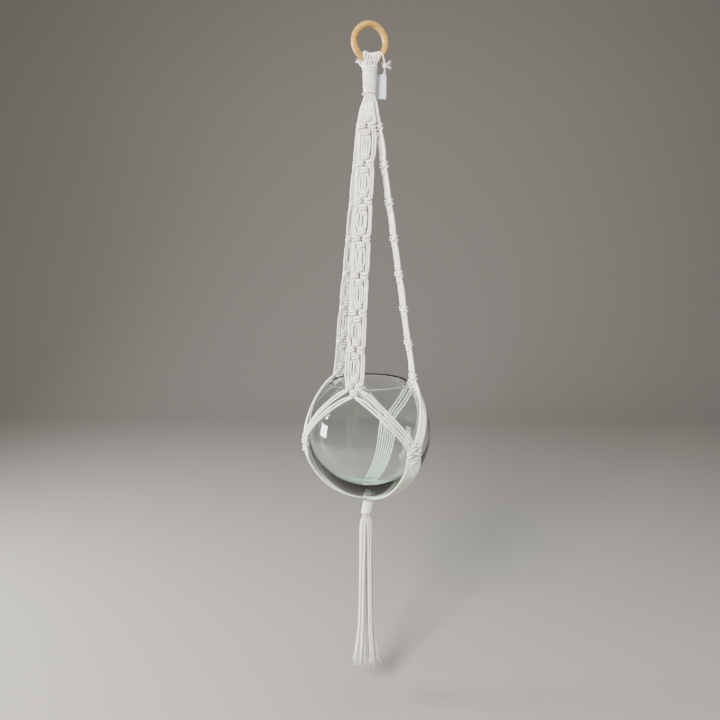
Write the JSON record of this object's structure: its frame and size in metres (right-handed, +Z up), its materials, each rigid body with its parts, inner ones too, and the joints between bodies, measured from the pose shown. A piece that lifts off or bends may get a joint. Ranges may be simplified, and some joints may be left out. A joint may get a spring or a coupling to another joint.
{
  "type": "hanging macrame planter",
  "caption": "Knotted cotton plant hanger on a varnished wooden ring, netting a clear glass globe bowl and ending in a long tassel.",
  "frame": {"origin": "centre of the wooden ring's eye", "axes": "+Z up along the hanging axis, -Y out of the ring's front face, X across the ring"},
  "size_m": [0.2085, 0.2063, 1.0379],
  "materials": {
    "varnished_wood": "satin varnish",
    "cotton_cord": "matt twisted cotton",
    "clear_glass": "polished clear",
    "woven_label": "smooth woven tape, blank"
  },
  "bodies": {
    "ring": {"wooden_ring": "varnished_wood"},
    "hanger": {"top_wrapping": "cotton_cord", "bottom_wrapping": "cotton_cord", "cord_1": "cotton_cord", "cord_2": "cotton_cord", "cord_3": "cotton_cord", "cord_4": "cotton_cord", "cord_5": "cotton_cord", "cord_6": "cotton_cord", "cord_7": "cotton_cord", "cord_8": "cotton_cord", "cord_9": "cotton_cord", "cord_10": "cotton_cord", "cord_11": "cotton_cord", "cord_12": "cotton_cord"},
    "globe": {"glass_globe": "clear_glass"},
    "tag": {"label": "woven_label", "label_cord": "cotton_cord"},
    "tassel": {"tassel_strand_1": "cotton_cord", "tassel_strand_2": "cotton_cord", "tassel_strand_3": "cotton_cord", "tassel_strand_4": "cotton_cord", "tassel_strand_5": "cotton_cord", "tassel_strand_6": "cotton_cord", "tassel_strand_7": "cotton_cord", "tassel_strand_8": "cotton_cord", "tassel_strand_9": "cotton_cord", "tassel_strand_10": "cotton_cord", "tassel_strand_11": "cotton_cord", "tassel_strand_12": "cotton_cord", "tassel_strand_13": "cotton_cord", "tassel_strand_14": "cotton_cord", "tassel_strand_15": "cotton_cord", "tassel_strand_16": "cotton_cord", "tassel_strand_17": "cotton_cord", "tassel_strand_18": "cotton_cord", "tassel_strand_19": "cotton_cord", "tassel_strand_20": "cotton_cord", "tassel_strand_21": "cotton_cord", "tassel_strand_22": "cotton_cord", "tassel_strand_23": "cotton_cord", "tassel_strand_24": "cotton_cord"}
  },
  "joints": [
    {"name": "hanger_swing", "type": "hinge", "parent": "ring", "child": "hanger", "pos_m": [0, 0, -0.0236], "axis": [1, 0, 0], "range_deg": [-45, 45]},
    {"name": "globe_turn", "type": "hinge", "parent": "hanger", "child": "globe", "pos_m": [0, 0, -0.5994], "axis": [0, 0, 1], "continuous": true},
    {"name": "tassel_swing", "type": "hinge", "parent": "hanger", "child": "tassel", "pos_m": [0, 0, -0.7419], "axis": [1, 0, 0], "range_deg": [-20, 20]},
    {"name": "tag_swing", "type": "hinge", "parent": "ring", "child": "tag", "pos_m": [0.017, 0, -0.01833], "axis": [1, 0, 0], "range_deg": [-45, 45]}
  ]
}
